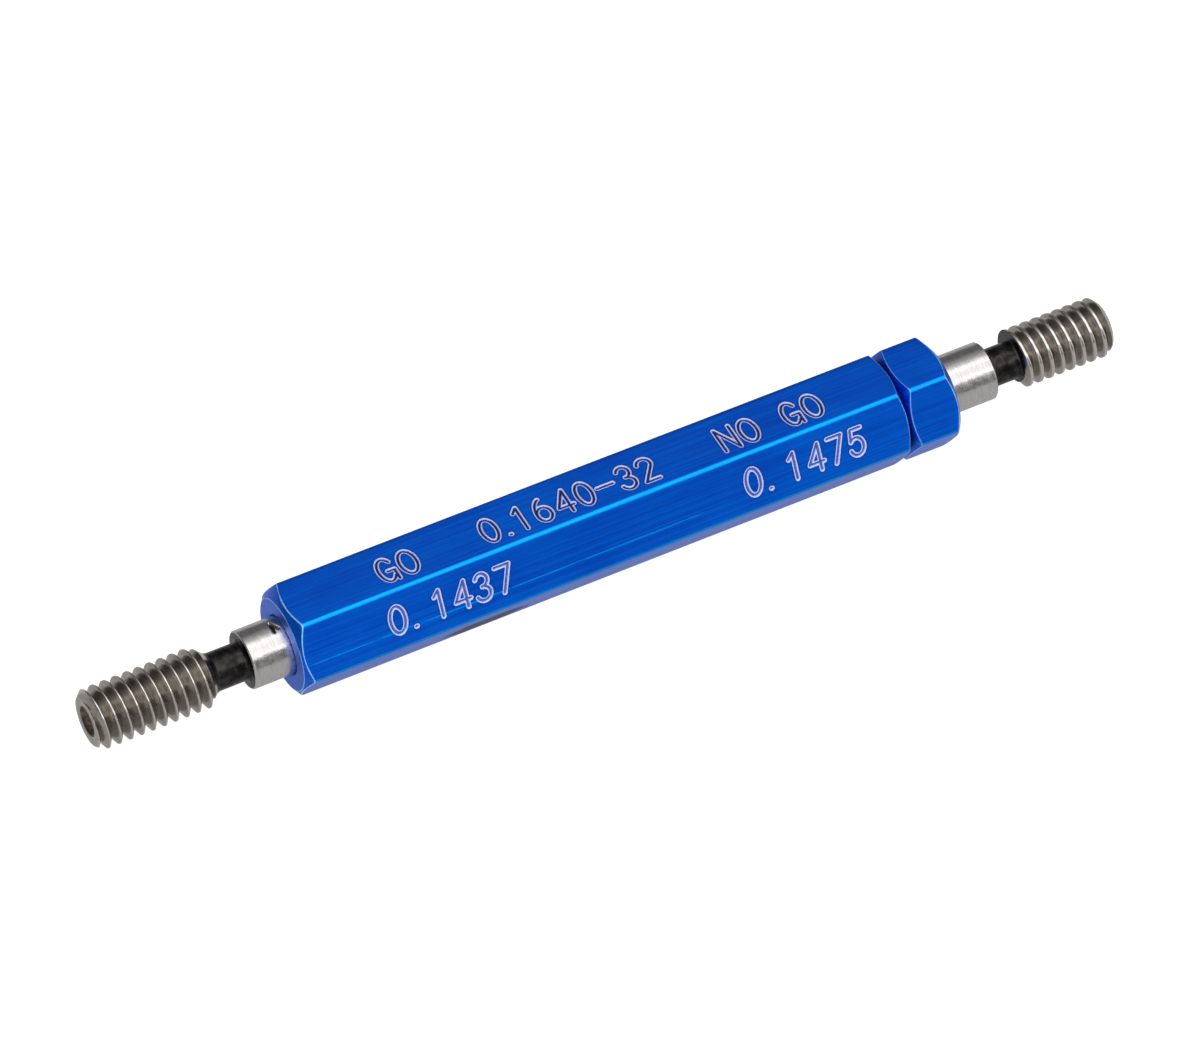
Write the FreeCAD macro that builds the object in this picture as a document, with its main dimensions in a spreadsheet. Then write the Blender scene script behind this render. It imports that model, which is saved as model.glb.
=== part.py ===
"""Double-ended GO / NO GO thread plug gauge on a hexagonal handle.

The gauge lies along X on one flat of its handle, with the GO member towards -X.
Z = 0 is the face it rests on, and X = 0 is the middle of its whole length.
All lengths are in millimetres and all angles in degrees.
"""

import FreeCAD, Part
import os
import Sketcher
from FreeCAD import Placement, Rotation, Vector

DRIVING_SIZES = [
    # Handle: a hexagonal bar with broken long edges, chamfered ends and a turned marker ring.
    ("across_flats", 6.85, "Handle, across flats"),
    ("handle_length", 47.7, "Handle, end face to end face"),
    ("corner_radius", 0.35, "Handle, radius along the six long edges"),
    ("end_face_dia", 6.3, "Handle, flat part of each end face"),
    ("end_chamfer_angle", 36.0, "Handle, end chamfer, from the end face"),
    ("ring_distance", 3.67, "Marker ring, centre from the NO GO end face"),
    ("ring_root_dia", 6.25, "Marker ring, diameter at its root"),
    ("ring_angle", 60.0, "Marker ring, included angle"),
    # Blind bore at each end of the handle, and the shank that is bonded into it.
    ("bore_overrun", 1.0, "Bore, depth past the end of the shank"),
    ("bore_mouth_chamfer", 0.12, "Bore, chamfer at its mouth"),
    ("bond_clearance", 0.01, "Bore, radial gap round the shank"),
    ("shank_dia", 3.969, "Members, ground shank and collar"),
    ("shank_depth", 12.5, "Members, shank inside the handle"),
    # What both members share outside the handle.
    ("collar_edge", 0.09, "Members, broken edge of the collar"),
    ("neck_dia", 2.6, "Members, neck behind the thread"),
    ("collar_blend", 0.2, "Members, 45 degree blend from the collar's face to the neck"),
    ("pitch", 0.79375, "Threads, 32 to the inch"),
    ("thread_angle", 60.0, "Threads, included angle"),
    ("lead_chamfer", 0.4, "Members, 45 degree lead at the tip"),
    ("centre_dia", 2.1, "Centre hole, mouth of its 60 degree cone"),
    ("centre_angle", 60.0, "Centre hole, included angle of the cone"),
    ("pilot_dia", 0.9, "Centre hole, pilot drill"),
    ("pilot_depth", 1.8, "Centre hole, depth of the pilot from the tip"),
    # GO member: full crests and a bevelled thread end.
    ("go_collar_length", 2.82, "GO member, collar outside the handle"),
    ("go_neck_length", 2.3, "GO member, collar to the foot of the thread"),
    ("go_thread_length", 8.67, "GO member, foot of the thread to the tip"),
    ("go_major_dia", 4.166, "GO thread, over its crests"),
    ("go_pitch_dia", 3.65, "GO thread, pitch diameter"),
    ("go_back_bevel", 45.0, "GO thread, slope of its inner end"),
    ("go_foot_blend", 0.25, "GO thread, reach of the blend at its foot, each way"),
    ("go_groove_offset", 0.246, "GO thread, groove's place behind the tip"),
    # NO GO member: a shorter thread with cut-down crests and a square inner end.
    ("no_go_collar_length", 3.55, "NO GO member, collar outside the handle"),
    ("no_go_neck_length", 2.15, "NO GO member, collar to the foot of the thread"),
    ("no_go_thread_length", 6.65, "NO GO member, foot of the thread to the tip"),
    ("no_go_major_dia", 4.089, "NO GO thread, over its crests"),
    ("no_go_pitch_dia", 3.7465, "NO GO thread, pitch diameter"),
    ("no_go_back_bevel", 3.0, "NO GO thread, slope of its inner end"),
    ("no_go_foot_blend", 0.1, "NO GO thread, reach of the blend at its foot, each way"),
    ("no_go_groove_offset", 0.764, "NO GO thread, groove's place behind the tip"),
]

# Number of whole pitches that the thread tool starts beyond the tip.
LEAD_IN_PITCHES = 2

doc = FreeCAD.newDocument("thread_plug_gauge")


def make_sheet():
    """Spreadsheet with one aliased cell for each driving size."""
    sheet = doc.addObject("Spreadsheet::Sheet", "Sizes")
    for row, (alias, size, meaning) in enumerate(DRIVING_SIZES, start=1):
        sheet.set(f"A{row}", meaning)
        sheet.set(f"B{row}", str(size))
        sheet.setAlias(f"B{row}", alias)
    doc.recompute()
    return sheet


def origin_feature(body, role):
    """Plane or axis of the body's own origin."""
    return next(feature for feature in body.Origin.OriginFeatures if feature.Role == role)


def new_sketch(body, name, plane_role):
    sketch = body.newObject("Sketcher::SketchObject", name)
    sketch.AttachmentSupport = [(origin_feature(body, plane_role), "")]
    sketch.MapMode = "FlatFace"
    return sketch


def draw_profile(body, name, corners):
    """Closed profile on the XY plane: x runs along the gauge and y is the radius.

    Each corner is (name, x, y), with x and y as expressions of the sheet's sizes.
    """
    sketch = new_sketch(body, name, "XY_Plane")
    places = [(sketch.evalExpression(x), sketch.evalExpression(y)) for _, x, y in corners]
    points = [Vector(float(x), float(y), 0) for x, y in places]
    count = len(corners)
    for index in range(count):
        sketch.addGeometry(Part.LineSegment(points[index], points[(index + 1) % count]), False)
    for index in range(count):
        sketch.addConstraint(Sketcher.Constraint("Coincident", index, 2, (index + 1) % count, 1))
    for index, (corner, x, y) in enumerate(corners):
        pin_corner(sketch, index, f"{corner}_x", "DistanceX", x, points[index].x)
        pin_corner(sketch, index, f"{corner}_y", "DistanceY", y, points[index].y)
    return sketch


def pin_corner(sketch, line, name, direction, expression, size):
    """Hold the start of a line at a distance from one of the sketch's axes."""
    if expression == "0":
        axis = -2 if direction == "DistanceX" else -1
        sketch.addConstraint(Sketcher.Constraint("PointOnObject", line, 1, axis))
        return
    index = sketch.addConstraint(Sketcher.Constraint(direction, line, 1, size))
    sketch.renameConstraint(index, name)
    sketch.setExpression(f"Constraints.{name}", expression)


def turn(body, kind, name, sketch):
    """Full turn of a profile about the body's X axis, adding or cutting."""
    feature = body.newObject(f"PartDesign::{kind}", name)
    feature.Profile = sketch
    feature.ReferenceAxis = (sketch, ["H_Axis"])
    feature.Angle = 360
    doc.recompute()
    return feature


def make_handle():
    """Hexagonal bar: long edges rounded, ends chamfered and bored, one marker ring."""
    body = doc.addObject("PartDesign::Body", "handle")
    body.Label = "handle"

    outline = new_sketch(body, "hexagon", "YZ_Plane")
    corner_distance = float(outline.evalExpression("Sizes.across_flats / 2 / cos(30)"))
    turn_step = Rotation(Vector(0, 0, 1), 60)
    corners = [Rotation(Vector(0, 0, 1), 60).multVec(Vector(corner_distance, 0, 0))]
    for _ in range(5):
        corners.append(turn_step.multVec(corners[-1]))
    for index in range(6):
        outline.addGeometry(Part.LineSegment(corners[index], corners[(index + 1) % 6]), False)
    circle = outline.addGeometry(Part.Circle(Vector(), Vector(0, 0, 1), corner_distance), True)
    outline.addConstraint(Sketcher.Constraint("Coincident", circle, 3, -1, 1))
    for index in range(6):
        outline.addConstraint(Sketcher.Constraint("Coincident", index, 2, (index + 1) % 6, 1))
        outline.addConstraint(Sketcher.Constraint("PointOnObject", index, 1, circle))
        if index > 0:
            outline.addConstraint(Sketcher.Constraint("Equal", 0, index))
    outline.addConstraint(Sketcher.Constraint("Horizontal", 0))
    flat = outline.addConstraint(Sketcher.Constraint("DistanceY", 0, 1, corners[0].y))
    outline.renameConstraint(flat, "half_across_flats")
    outline.setExpression("Constraints.half_across_flats", "Sizes.across_flats / 2")

    bar = body.newObject("PartDesign::Pad", "bar")
    bar.Profile = outline
    bar.SideType = "Symmetric"
    bar.setExpression("Length", "Sizes.handle_length")
    doc.recompute()

    long_edges = [
        f"Edge{number}"
        for number, edge in enumerate(bar.Shape.Edges, start=1)
        if abs(edge.tangentAt(edge.FirstParameter).x) > 0.999
    ]
    rounded = body.newObject("PartDesign::Fillet", "rounded_edges")
    rounded.Base = (bar, long_edges)
    rounded.setExpression("Radius", "Sizes.corner_radius")
    doc.recompute()

    end = "Sizes.handle_length / 2"
    face_radius = "Sizes.end_face_dia / 2"
    outside = "Sizes.across_flats"
    chamfer_back = f"{end} - ({outside} - {face_radius}) * tan(Sizes.end_chamfer_angle)"
    chamfer_sketch = draw_profile(body, "end_chamfer_profile", [
        ("face_edge", end, face_radius),
        ("front_outside", end, outside),
        ("back_outside", chamfer_back, outside),
    ])
    chamfer = turn(body, "Groove", "end_chamfer", chamfer_sketch)

    bore_radius = "Sizes.shank_dia / 2 + Sizes.bond_clearance"
    bore_end = f"{end} - Sizes.shank_depth - Sizes.bore_overrun"
    bore_sketch = draw_profile(body, "bore_profile", [
        ("mouth_centre", end, "0"),
        ("mouth_edge", end, f"{bore_radius} + Sizes.bore_mouth_chamfer"),
        ("wall_front", f"{end} - Sizes.bore_mouth_chamfer", bore_radius),
        ("wall_back", bore_end, bore_radius),
        ("bottom_centre", bore_end, "0"),
    ])
    bore = turn(body, "Groove", "bore", bore_sketch)

    other_end = body.newObject("PartDesign::Mirrored", "other_end")
    other_end.Originals = [chamfer, bore]
    other_end.MirrorPlane = (origin_feature(body, "YZ_Plane"), [""])
    body.Tip = other_end
    doc.recompute()

    ring_centre = f"{end} - Sizes.ring_distance"
    root_radius = "Sizes.ring_root_dia / 2"
    mouth_half = f"(({outside} - {root_radius}) * tan(Sizes.ring_angle / 2))"
    ring_sketch = draw_profile(body, "marker_ring_profile", [
        ("root", ring_centre, root_radius),
        ("mouth_outer", f"{ring_centre} + {mouth_half}", outside),
        ("mouth_inner", f"{ring_centre} - {mouth_half}", outside),
    ])
    turn(body, "Groove", "marker_ring", ring_sketch)

    body.setExpression("Placement.Base.x", HANDLE_MIDDLE)
    body.setExpression("Placement.Base.z", "Sizes.across_flats / 2")
    return body


def make_member(side, placement_x):
    """Steel gauging member along its own +X axis: shank, collar, neck and cut thread.

    side is the prefix of the member's own sizes, go or no_go. x = 0 is the end of the
    shank that sits deepest in the handle.
    """
    body = doc.addObject("PartDesign::Body", f"{side}_member")
    body.Label = f"{side}_member"

    shank_radius = "Sizes.shank_dia / 2"
    neck_radius = "Sizes.neck_dia / 2"
    crest_radius = f"Sizes.{side}_major_dia / 2"
    centre_radius = "Sizes.centre_dia / 2"
    pilot_radius = "Sizes.pilot_dia / 2"
    collar_end = f"Sizes.shank_depth + Sizes.{side}_collar_length"
    thread_foot = f"{collar_end} + Sizes.{side}_neck_length"
    tip = f"{thread_foot} + Sizes.{side}_thread_length"
    bevel = f"Sizes.{side}_back_bevel"
    crest_back = f"{thread_foot} + ({crest_radius} - {neck_radius}) * tan({bevel})"
    foot_blend = f"Sizes.{side}_foot_blend"
    foot_radius = f"{neck_radius} + {foot_blend} * cos({bevel})"
    cone_bottom = f"{tip} - ({centre_radius} - {pilot_radius}) / tan(Sizes.centre_angle / 2)"
    pilot_bottom = f"{tip} - Sizes.pilot_depth"
    blank_sketch = draw_profile(body, f"{side}_blank_profile", [
        ("shank_centre", "0", "0"),
        ("shank_corner", "0", shank_radius),
        ("collar_corner", f"{collar_end} - Sizes.collar_edge", shank_radius),
        ("collar_face", collar_end, f"{shank_radius} - Sizes.collar_edge"),
        ("blend_start", collar_end, f"{neck_radius} + Sizes.collar_blend"),
        ("neck_start", f"{collar_end} + Sizes.collar_blend", neck_radius),
        ("neck_end", f"{thread_foot} - {foot_blend}", neck_radius),
        ("foot_end", f"{thread_foot} + {foot_blend} * sin({bevel})", foot_radius),
        ("crest_back", crest_back, crest_radius),
        ("crest_front", f"{tip} - Sizes.lead_chamfer", crest_radius),
        ("tip_edge", tip, f"{crest_radius} - Sizes.lead_chamfer"),
        ("centre_mouth", tip, centre_radius),
        ("cone_bottom", cone_bottom, pilot_radius),
        ("pilot_wall", pilot_bottom, pilot_radius),
        ("pilot_centre", pilot_bottom, "0"),
    ])
    turn(body, "Revolution", f"{side}_blank", blank_sketch)

    # The groove is a sharp V that is half a pitch wide at the pitch diameter.
    flank = "tan(Sizes.thread_angle / 2)"
    half_groove = "Sizes.pitch / 4"
    major = f"Sizes.{side}_major_dia"
    pitch_dia = f"Sizes.{side}_pitch_dia"
    crest_flat = f"(Sizes.pitch / 2 - ({major} - {pitch_dia}) * {flank})"
    tool_radius = f"({crest_radius} + {crest_flat} / 2)"
    mouth_half = f"({half_groove} + ({tool_radius} - {pitch_dia} / 2) * {flank})"
    tool_x = f"{tip} + {LEAD_IN_PITCHES} * Sizes.pitch - Sizes.{side}_groove_offset"
    groove_sketch = draw_profile(body, f"{side}_groove_profile", [
        ("root", tool_x, f"{pitch_dia} / 2 - {half_groove} / {flank}"),
        ("mouth_outer", f"{tool_x} + {mouth_half}", tool_radius),
        ("mouth_inner", f"{tool_x} - {mouth_half}", tool_radius),
    ])
    doc.recompute()
    thread = body.newObject("PartDesign::SubtractiveHelix", f"{side}_thread")
    thread.Profile = groove_sketch
    thread.ReferenceAxis = (groove_sketch, ["H_Axis"])
    thread.Mode = "pitch-height-angle"
    thread.LeftHanded = False
    thread.Reversed = True
    thread.setExpression("Pitch", "Sizes.pitch")
    thread.setExpression("Height", f"{tool_x} - ({thread_foot}) + Sizes.pitch * 0.6")
    doc.recompute()

    body.setExpression("Placement.Base.x", placement_x)
    body.setExpression("Placement.Base.z", "Sizes.across_flats / 2")
    return body


def reach(side):
    """Expression for how far a member stands out of the handle."""
    return f"(Sizes.{side}_collar_length + Sizes.{side}_neck_length + Sizes.{side}_thread_length)"


HANDLE_MIDDLE = f"({reach('go')} - {reach('no_go')}) / 2"
SHANK_INNER_END = "(Sizes.handle_length / 2 - Sizes.shank_depth)"

sizes = make_sheet()
handle = make_handle()
go_member = make_member("go", f"{HANDLE_MIDDLE} - {SHANK_INNER_END}")
go_member.Placement = Placement(go_member.Placement.Base, Rotation(Vector(0, 0, 1), 180))
no_go_member = make_member("no_go", f"{HANDLE_MIDDLE} + {SHANK_INNER_END}")
doc.recompute()

for item in doc.Objects:
    if "Invalid" in item.State or "Error" in item.State:
        raise RuntimeError(f"{item.Label} is {item.State}")

os.makedirs("parts", exist_ok=True)
for piece in (handle, go_member, no_go_member):
    shape = piece.Shape
    if shape.isNull() or not shape.isValid() or len(shape.Solids) != 1:
        raise RuntimeError(f"{piece.Label} is not one valid solid")
    box = shape.BoundBox
    print(f"{piece.Label}: {shape.Volume:.2f} mm3, x {box.XMin:.3f} to {box.XMax:.3f}, "
          f"y {box.YMin:.3f} to {box.YMax:.3f}, z {box.ZMin:.3f} to {box.ZMax:.3f}")
    shape.exportStep(f"parts/{piece.Label}.step")
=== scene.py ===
"""Dressed model of a double-ended thread plug gauge, lying on a pale floor.

The three CAD nodes are replaced by finer meshes of the same shape: the blue handle with its
engraved marks, and the two steel members with their ground threads. Meshes are made in
millimetres about the gauge's own axis and scaled to metres when they are written.
"""

import math

import bmesh
import bpy
import numpy as np
from mathutils import Matrix, Vector


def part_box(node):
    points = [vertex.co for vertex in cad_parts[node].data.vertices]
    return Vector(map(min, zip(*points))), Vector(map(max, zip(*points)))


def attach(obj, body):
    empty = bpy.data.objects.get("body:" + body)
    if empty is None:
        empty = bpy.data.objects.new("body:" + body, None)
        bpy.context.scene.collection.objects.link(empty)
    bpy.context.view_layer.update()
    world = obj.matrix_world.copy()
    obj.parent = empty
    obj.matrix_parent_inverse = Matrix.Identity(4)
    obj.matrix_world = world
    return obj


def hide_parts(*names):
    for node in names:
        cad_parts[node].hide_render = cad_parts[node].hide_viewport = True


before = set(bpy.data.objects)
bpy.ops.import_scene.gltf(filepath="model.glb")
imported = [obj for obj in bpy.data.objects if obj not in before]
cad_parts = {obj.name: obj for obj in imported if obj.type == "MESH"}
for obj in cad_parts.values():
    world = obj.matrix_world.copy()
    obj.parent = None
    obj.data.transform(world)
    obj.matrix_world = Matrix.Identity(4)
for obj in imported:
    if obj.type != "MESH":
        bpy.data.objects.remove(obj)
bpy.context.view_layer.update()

MM = 0.001

# ---------------------------------------------------------------- sizes, in millimetres

# Handle.
CORNER_RADIUS = 0.35
FACE_RADIUS = 3.15
END_SLOPE = math.tan(math.radians(36))
RING_DISTANCE = 3.67
RING_ROOT_RADIUS = 3.125
RING_SLOPE = math.tan(math.radians(30))
BORE_RADIUS = 1.9945
BORE_CHAMFER = 0.12
BORE_DEPTH = 13.5

# Members.
SHANK_RADIUS = 1.9845
SHANK_DEPTH = 12.5
NECK_RADIUS = 1.3
PITCH = 0.79375
FLANK_SLOPE = math.tan(math.radians(30))
LEAD_CHAMFER = 0.4
CENTRE_RADIUS = 1.05
PILOT_RADIUS = 0.45
PILOT_DEPTH = 1.8


def node_box_mm(node):
    """Lowest and highest corner of a CAD node in millimetres."""
    low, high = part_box(node)
    return np.array(low) / MM, np.array(high) / MM


HANDLE_LOW, HANDLE_HIGH = node_box_mm("handle")
GO_TIP = node_box_mm("go_member")[0][0]
NO_GO_TIP = node_box_mm("no_go_member")[1][0]
HALF_FLATS = (HANDLE_HIGH[2] - HANDLE_LOW[2]) / 2

# The photograph reads as if both ends were turned with the bar a little off centre. One view
# shows only the part across it, so the direction (y, z) is chosen. The lean is how much
# further off the GO member gets for each millimetre along its length.
RUN_OUT = np.array([-0.796, -0.606])
GO_RUN_OUT = 0.153
GO_LEAN = 0.0044
NO_GO_FACE_RUN_OUT = 0.11
AXIS_HEIGHT = (HANDLE_HIGH[2] + HANDLE_LOW[2]) / 2


# ---------------------------------------------------------------- mesh building

class Sheet:
    """Collects points with their attributes, faces and material numbers for one mesh."""

    def __init__(self, **defaults):
        self.defaults = defaults
        self.points = []
        self.values = {name: [] for name in defaults}
        self.count = 0
        self.faces = []
        self.material_of_face = []

    def add(self, points, **values):
        """Add an array of points, shaped (..., 3), and return their numbers, shaped (...)."""
        points = np.asarray(points, float)
        shape = points.shape[:-1]
        flat = points.reshape(-1, 3)
        self.points.append(flat)
        for name, default in self.defaults.items():
            value = np.broadcast_to(np.asarray(values.get(name, default), float), shape)
            self.values[name].append(value.reshape(-1))
        numbers = np.arange(self.count, self.count + len(flat)).reshape(shape)
        self.count += len(flat)
        return numbers

    def face(self, corners, material=0):
        self.faces.append(tuple(int(c) for c in corners))
        self.material_of_face.append(material)

    def grid(self, numbers, material=0, skip=None):
        """Quads between neighbouring rows and columns of point numbers."""
        a, b = numbers[:-1, :-1], numbers[:-1, 1:]
        c, d = numbers[1:, 1:], numbers[1:, :-1]
        quads = np.stack([a, b, c, d], axis=-1)
        keep = np.ones(a.shape, bool) if skip is None else ~skip
        chosen = quads[keep].reshape(-1, 4)
        self.faces.extend(map(tuple, chosen.tolist()))
        self.material_of_face.extend([material] * len(chosen))

    def fan(self, centre, ring, material=0):
        """Triangles from a centre point to a closed ring of point numbers."""
        for index in range(len(ring)):
            self.face((centre, ring[index], ring[(index + 1) % len(ring)]), material)

    def zip_rows(self, first, first_at, second, second_at, material=0):
        """Triangles between two rows of points, stepping along whichever is behind."""
        i = j = 0
        while i < len(first) - 1 or j < len(second) - 1:
            step_first = j == len(second) - 1 or (
                i < len(first) - 1 and first_at[i + 1] <= second_at[j + 1]
            )
            if step_first:
                self.face((first[i], first[i + 1], second[j]), material)
                i += 1
            else:
                self.face((first[i], second[j + 1], second[j]), material)
                j += 1

    def object(self, name, materials, sharp_above, merge=0.0):
        """Write the mesh in metres, with smooth shading below an angle between faces."""
        mesh = bpy.data.meshes.new(name)
        points = np.concatenate(self.points)
        mesh.from_pydata((points * MM).tolist(), [], self.faces)
        for value_name, parts in self.values.items():
            attribute = mesh.attributes.new(value_name, "FLOAT", "POINT")
            attribute.data.foreach_set("value", np.concatenate(parts).astype(np.float32))
        for material in materials:
            mesh.materials.append(material)
        mesh.polygons.foreach_set("material_index", self.material_of_face)
        if merge:
            drop_collapsed(mesh, merge * MM)
        mesh.validate()
        mesh.polygons.foreach_set("use_smooth", [True] * len(mesh.polygons))
        mesh.set_sharp_from_angle(angle=math.radians(sharp_above))
        made = bpy.data.objects.new(name, mesh)
        bpy.context.scene.collection.objects.link(made)
        return made


def drop_collapsed(mesh, distance):
    """Join points that share a place and drop the faces that have no area."""
    work = bmesh.new()
    work.from_mesh(mesh)
    bmesh.ops.remove_doubles(work, verts=work.verts, dist=distance)
    bmesh.ops.dissolve_degenerate(work, edges=work.edges, dist=distance)
    work.to_mesh(mesh)
    work.free()


def bend_points(start, corner, end, steps):
    """Points of a rounded corner from start to end, with the sharp corner as its control."""
    t = np.linspace(0, 1, steps + 1)[:, None, None]
    return (1 - t) ** 2 * start + 2 * t * (1 - t) * corner + t ** 2 * end


def smoothstep(low, high, value):
    t = np.clip((value - low) / (high - low), 0, 1)
    return t * t * (3 - 2 * t)


# ---------------------------------------------------------------- engraved characters

def arc(cx, cy, rx, ry, start, stop, steps=22):
    """Points of an elliptical arc, from start to stop degrees."""
    angles = np.radians(np.linspace(start, stop, steps + 1))
    return [(cx + rx * math.cos(a), cy + ry * math.sin(a)) for a in angles]


# Each character is a list of strokes in a box W wide and 1 high.
W = 1.06
CHARACTERS = {
    "G": [arc(0.5 * W, 0.5, 0.5 * W, 0.5, 38, 322), [(W, 0.44), (W, 0.0)],
          [(0.55 * W, 0.44), (W, 0.44)]],
    "O": [arc(0.53 * W, 0.5, 0.53 * W, 0.5, 0, 360, 40)],
    "N": [[(0, 0), (0, 1)], [(0, 1), (W, 0)], [(W, 0), (W, 1)]],
    "0": [arc(0.48 * W, 0.5, 0.48 * W, 0.5, 0, 360, 40)],
    "1": [[(0.5 * W, 0), (0.5 * W, 1)], [(0.5 * W, 1), (0.16 * W, 0.79)]],
    "2": [arc(0.47 * W, 0.75, 0.45 * W, 0.25, 172, -28) + [(0.04 * W, 0.0)],
          [(0.04 * W, 0.0), (0.94 * W, 0.0)]],
    "3": [arc(0.46 * W, 0.755, 0.4 * W, 0.245, 160, -90),
          arc(0.46 * W, 0.26, 0.46 * W, 0.26, 90, -160)],
    "4": [[(0.76 * W, 0), (0.76 * W, 1)], [(0.76 * W, 1), (0.02 * W, 0.29)],
          [(0.02 * W, 0.29), (1.02 * W, 0.29)]],
    "5": [[(0.88 * W, 1), (0.2 * W, 1)], [(0.2 * W, 1), (0.1 * W, 0.55)],
          arc(0.45 * W, 0.33, 0.46 * W, 0.33, 138, -160)],
    "6": [arc(0.48 * W, 0.31, 0.46 * W, 0.31, 0, 360, 36),
          arc(0.72 * W, 0.31, 0.70 * W, 0.69, 180, 103)],
    "7": [[(0.02 * W, 1), (0.96 * W, 1)], [(0.96 * W, 1), (0.34 * W, 0)]],
    "-": [[(-0.08 * W, 0.5), (1.0 * W, 0.5)]],
    ".": [[(0.1 * W, 0.02), (0.14 * W, 0.02)]],
}

# From one character to the next, and the share of it that a narrow character takes.
CELL = 1.515
NARROW_SHARE = 0.52


def line_of_text(text, start, middle, height, narrow=()):
    """Strokes of a line of text on a flat, as segments of (x, across) in millimetres.

    start is the left edge of the first character and middle the line's place across the
    flat. Characters in narrow take NARROW_SHARE of a cell.
    """
    segments = []
    x = start
    for character in text:
        for stroke in CHARACTERS.get(character, []):
            places = [(x + px, middle - (py - 0.5) * height) for px, py in stroke]
            segments.extend(zip(places[:-1], places[1:]))
        x += CELL * (NARROW_SHARE if character in narrow else 1.0)
    return np.array(segments)


def distance_to_strokes(points, segments, reach):
    """Distance from each point to the nearest stroke, no more than reach."""
    best = np.full(len(points), reach)
    for a, b in segments:
        low = np.minimum(a, b) - reach
        high = np.maximum(a, b) + reach
        near = np.all((points > low) & (points < high), axis=1)
        if not near.any():
            continue
        along = b - a
        length = max(float(along @ along), 1e-12)
        offset = points[near] - a
        t = np.clip(offset @ along / length, 0, 1)[:, None]
        best[near] = np.minimum(best[near], np.linalg.norm(offset - t * along, axis=1))
    return best


ENGRAVING_REACH = 0.4
ENGRAVING_DEPTH = 0.075
ENGRAVING_WALL = (0.045, 0.125)
BURR_HEIGHT = 0.014
BURR_DISTANCE = 0.135
BURR_SPREAD = 0.03


def engraving_height(distance):
    """Height of the surface by its distance from the middle of a stroke."""
    wall = smoothstep(*ENGRAVING_WALL, distance)
    burr = BURR_HEIGHT * np.exp(-((distance - BURR_DISTANCE) / BURR_SPREAD) ** 2)
    return -ENGRAVING_DEPTH * (1 - wall) + burr


# Lines of text by the flat that carries them: its number round the hexagon, the stretch of
# each line along x, and the strokes.
TEXT_GRID = 0.042
TEXT_HEIGHT_TOP = 1.90
TEXT_HEIGHT_FRONT = 1.82
TOP_FLAT, FRONT_FLAT = 1, 2
LETTERED = {
    TOP_FLAT: [
        line_of_text("GO", -16.28, 0.24, TEXT_HEIGHT_TOP),
        line_of_text("0.1640-32", -8.9, 0.24, TEXT_HEIGHT_TOP, narrow="."),
        line_of_text("NO", 8.32, 0.24, TEXT_HEIGHT_TOP),
        line_of_text("GO", 12.97, 0.24, TEXT_HEIGHT_TOP),
    ],
    FRONT_FLAT: [
        line_of_text("0.1437", -16.8, 0.02, TEXT_HEIGHT_FRONT),
        line_of_text("0.1475", 8.85, 0.02, TEXT_HEIGHT_FRONT),
    ],
}
TEXT_MARGIN = 0.42


# ---------------------------------------------------------------- handle

# How strongly each corner is painted lighter: partly rubbing, partly painted highlight,
# strongest on the lit ridge. Where points lie across a flat, -1 to 1.
CORNER_RUB_AND_HIGHLIGHT = (0.6, 0.1, 1.0, 0.8, 0.5, 0.5)
FLAT_STEPS = np.array([-1.0, -0.86, -0.73, -0.59, -0.45, -0.3, -0.15, 0.0, 0.16, 0.32, 0.48,
                       0.66, 0.85, 0.93, 1.0])
TEXT_ROWS = (2, 12)
ARC_STEPS = 8
LIP = 0.055
RING_LIP = 0.045
RING_INSET = 0.03
FACE_LIP = 0.05
FACE_INSET = 0.03
OUTLINE_STEP = 0.17
HANDLE_SHARP_ANGLE = 50


def hexagon_outline():
    """(y, z) round the rounded hexagon, and where each flat starts in that list."""
    half_flat = (HALF_FLATS - CORNER_RADIUS) * math.tan(math.radians(30))
    centre_distance = (HALF_FLATS - CORNER_RADIUS) / math.cos(math.radians(30))
    outline, starts = [], []
    for side in range(6):
        corner = math.radians(60 * side)
        for step in range(ARC_STEPS):
            angle = corner + math.radians(60 * step / ARC_STEPS - 30)
            outline.append((
                centre_distance * math.cos(corner) + CORNER_RADIUS * math.cos(angle),
                centre_distance * math.sin(corner) + CORNER_RADIUS * math.sin(angle),
            ))
        starts.append(len(outline))
        normal = corner + math.radians(30)
        for across in FLAT_STEPS[:-1] * half_flat:
            outline.append((
                HALF_FLATS * math.cos(normal) - across * math.sin(normal),
                HALF_FLATS * math.sin(normal) + across * math.cos(normal),
            ))
    return np.array(outline), starts, half_flat


def rub_and_highlight_of_corners(around):
    """How much each point of the outline is painted lighter, as rubbing and painted highlight:
    full on the corners, none on flats.
    """
    per_side = around // 6
    rub_and_highlight = np.zeros(around)
    for side, strength in enumerate(CORNER_RUB_AND_HIGHLIGHT):
        first = side * per_side
        shares = np.linspace(-1, 1, ARC_STEPS + 1)
        for step, share in enumerate(shares):
            rub_and_highlight[(first + step) % around] = strength * (1 - abs(share) ** 4)
    return rub_and_highlight


def ring_points(x, radius, directions, centre=(0.0, 0.0)):
    """Points of a circle about a centre, in the directions of the outline's points."""
    x = np.broadcast_to(x, len(directions))
    return np.column_stack([x, centre[0] + radius * directions[:, 0],
                            centre[1] + radius * directions[:, 1]])


def soft_noise(position, seed, scale):
    """Smooth repeatable noise between -1 and 1 along one dimension."""
    rng = np.random.default_rng(seed)
    knots = rng.uniform(-1, 1, 400)
    place = np.asarray(position, float) / scale + 200
    base = np.floor(place).astype(int)
    part = smoothstep(0, 1, place - base)
    return knots[base % 400] * (1 - part) + knots[(base + 1) % 400] * part


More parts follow.
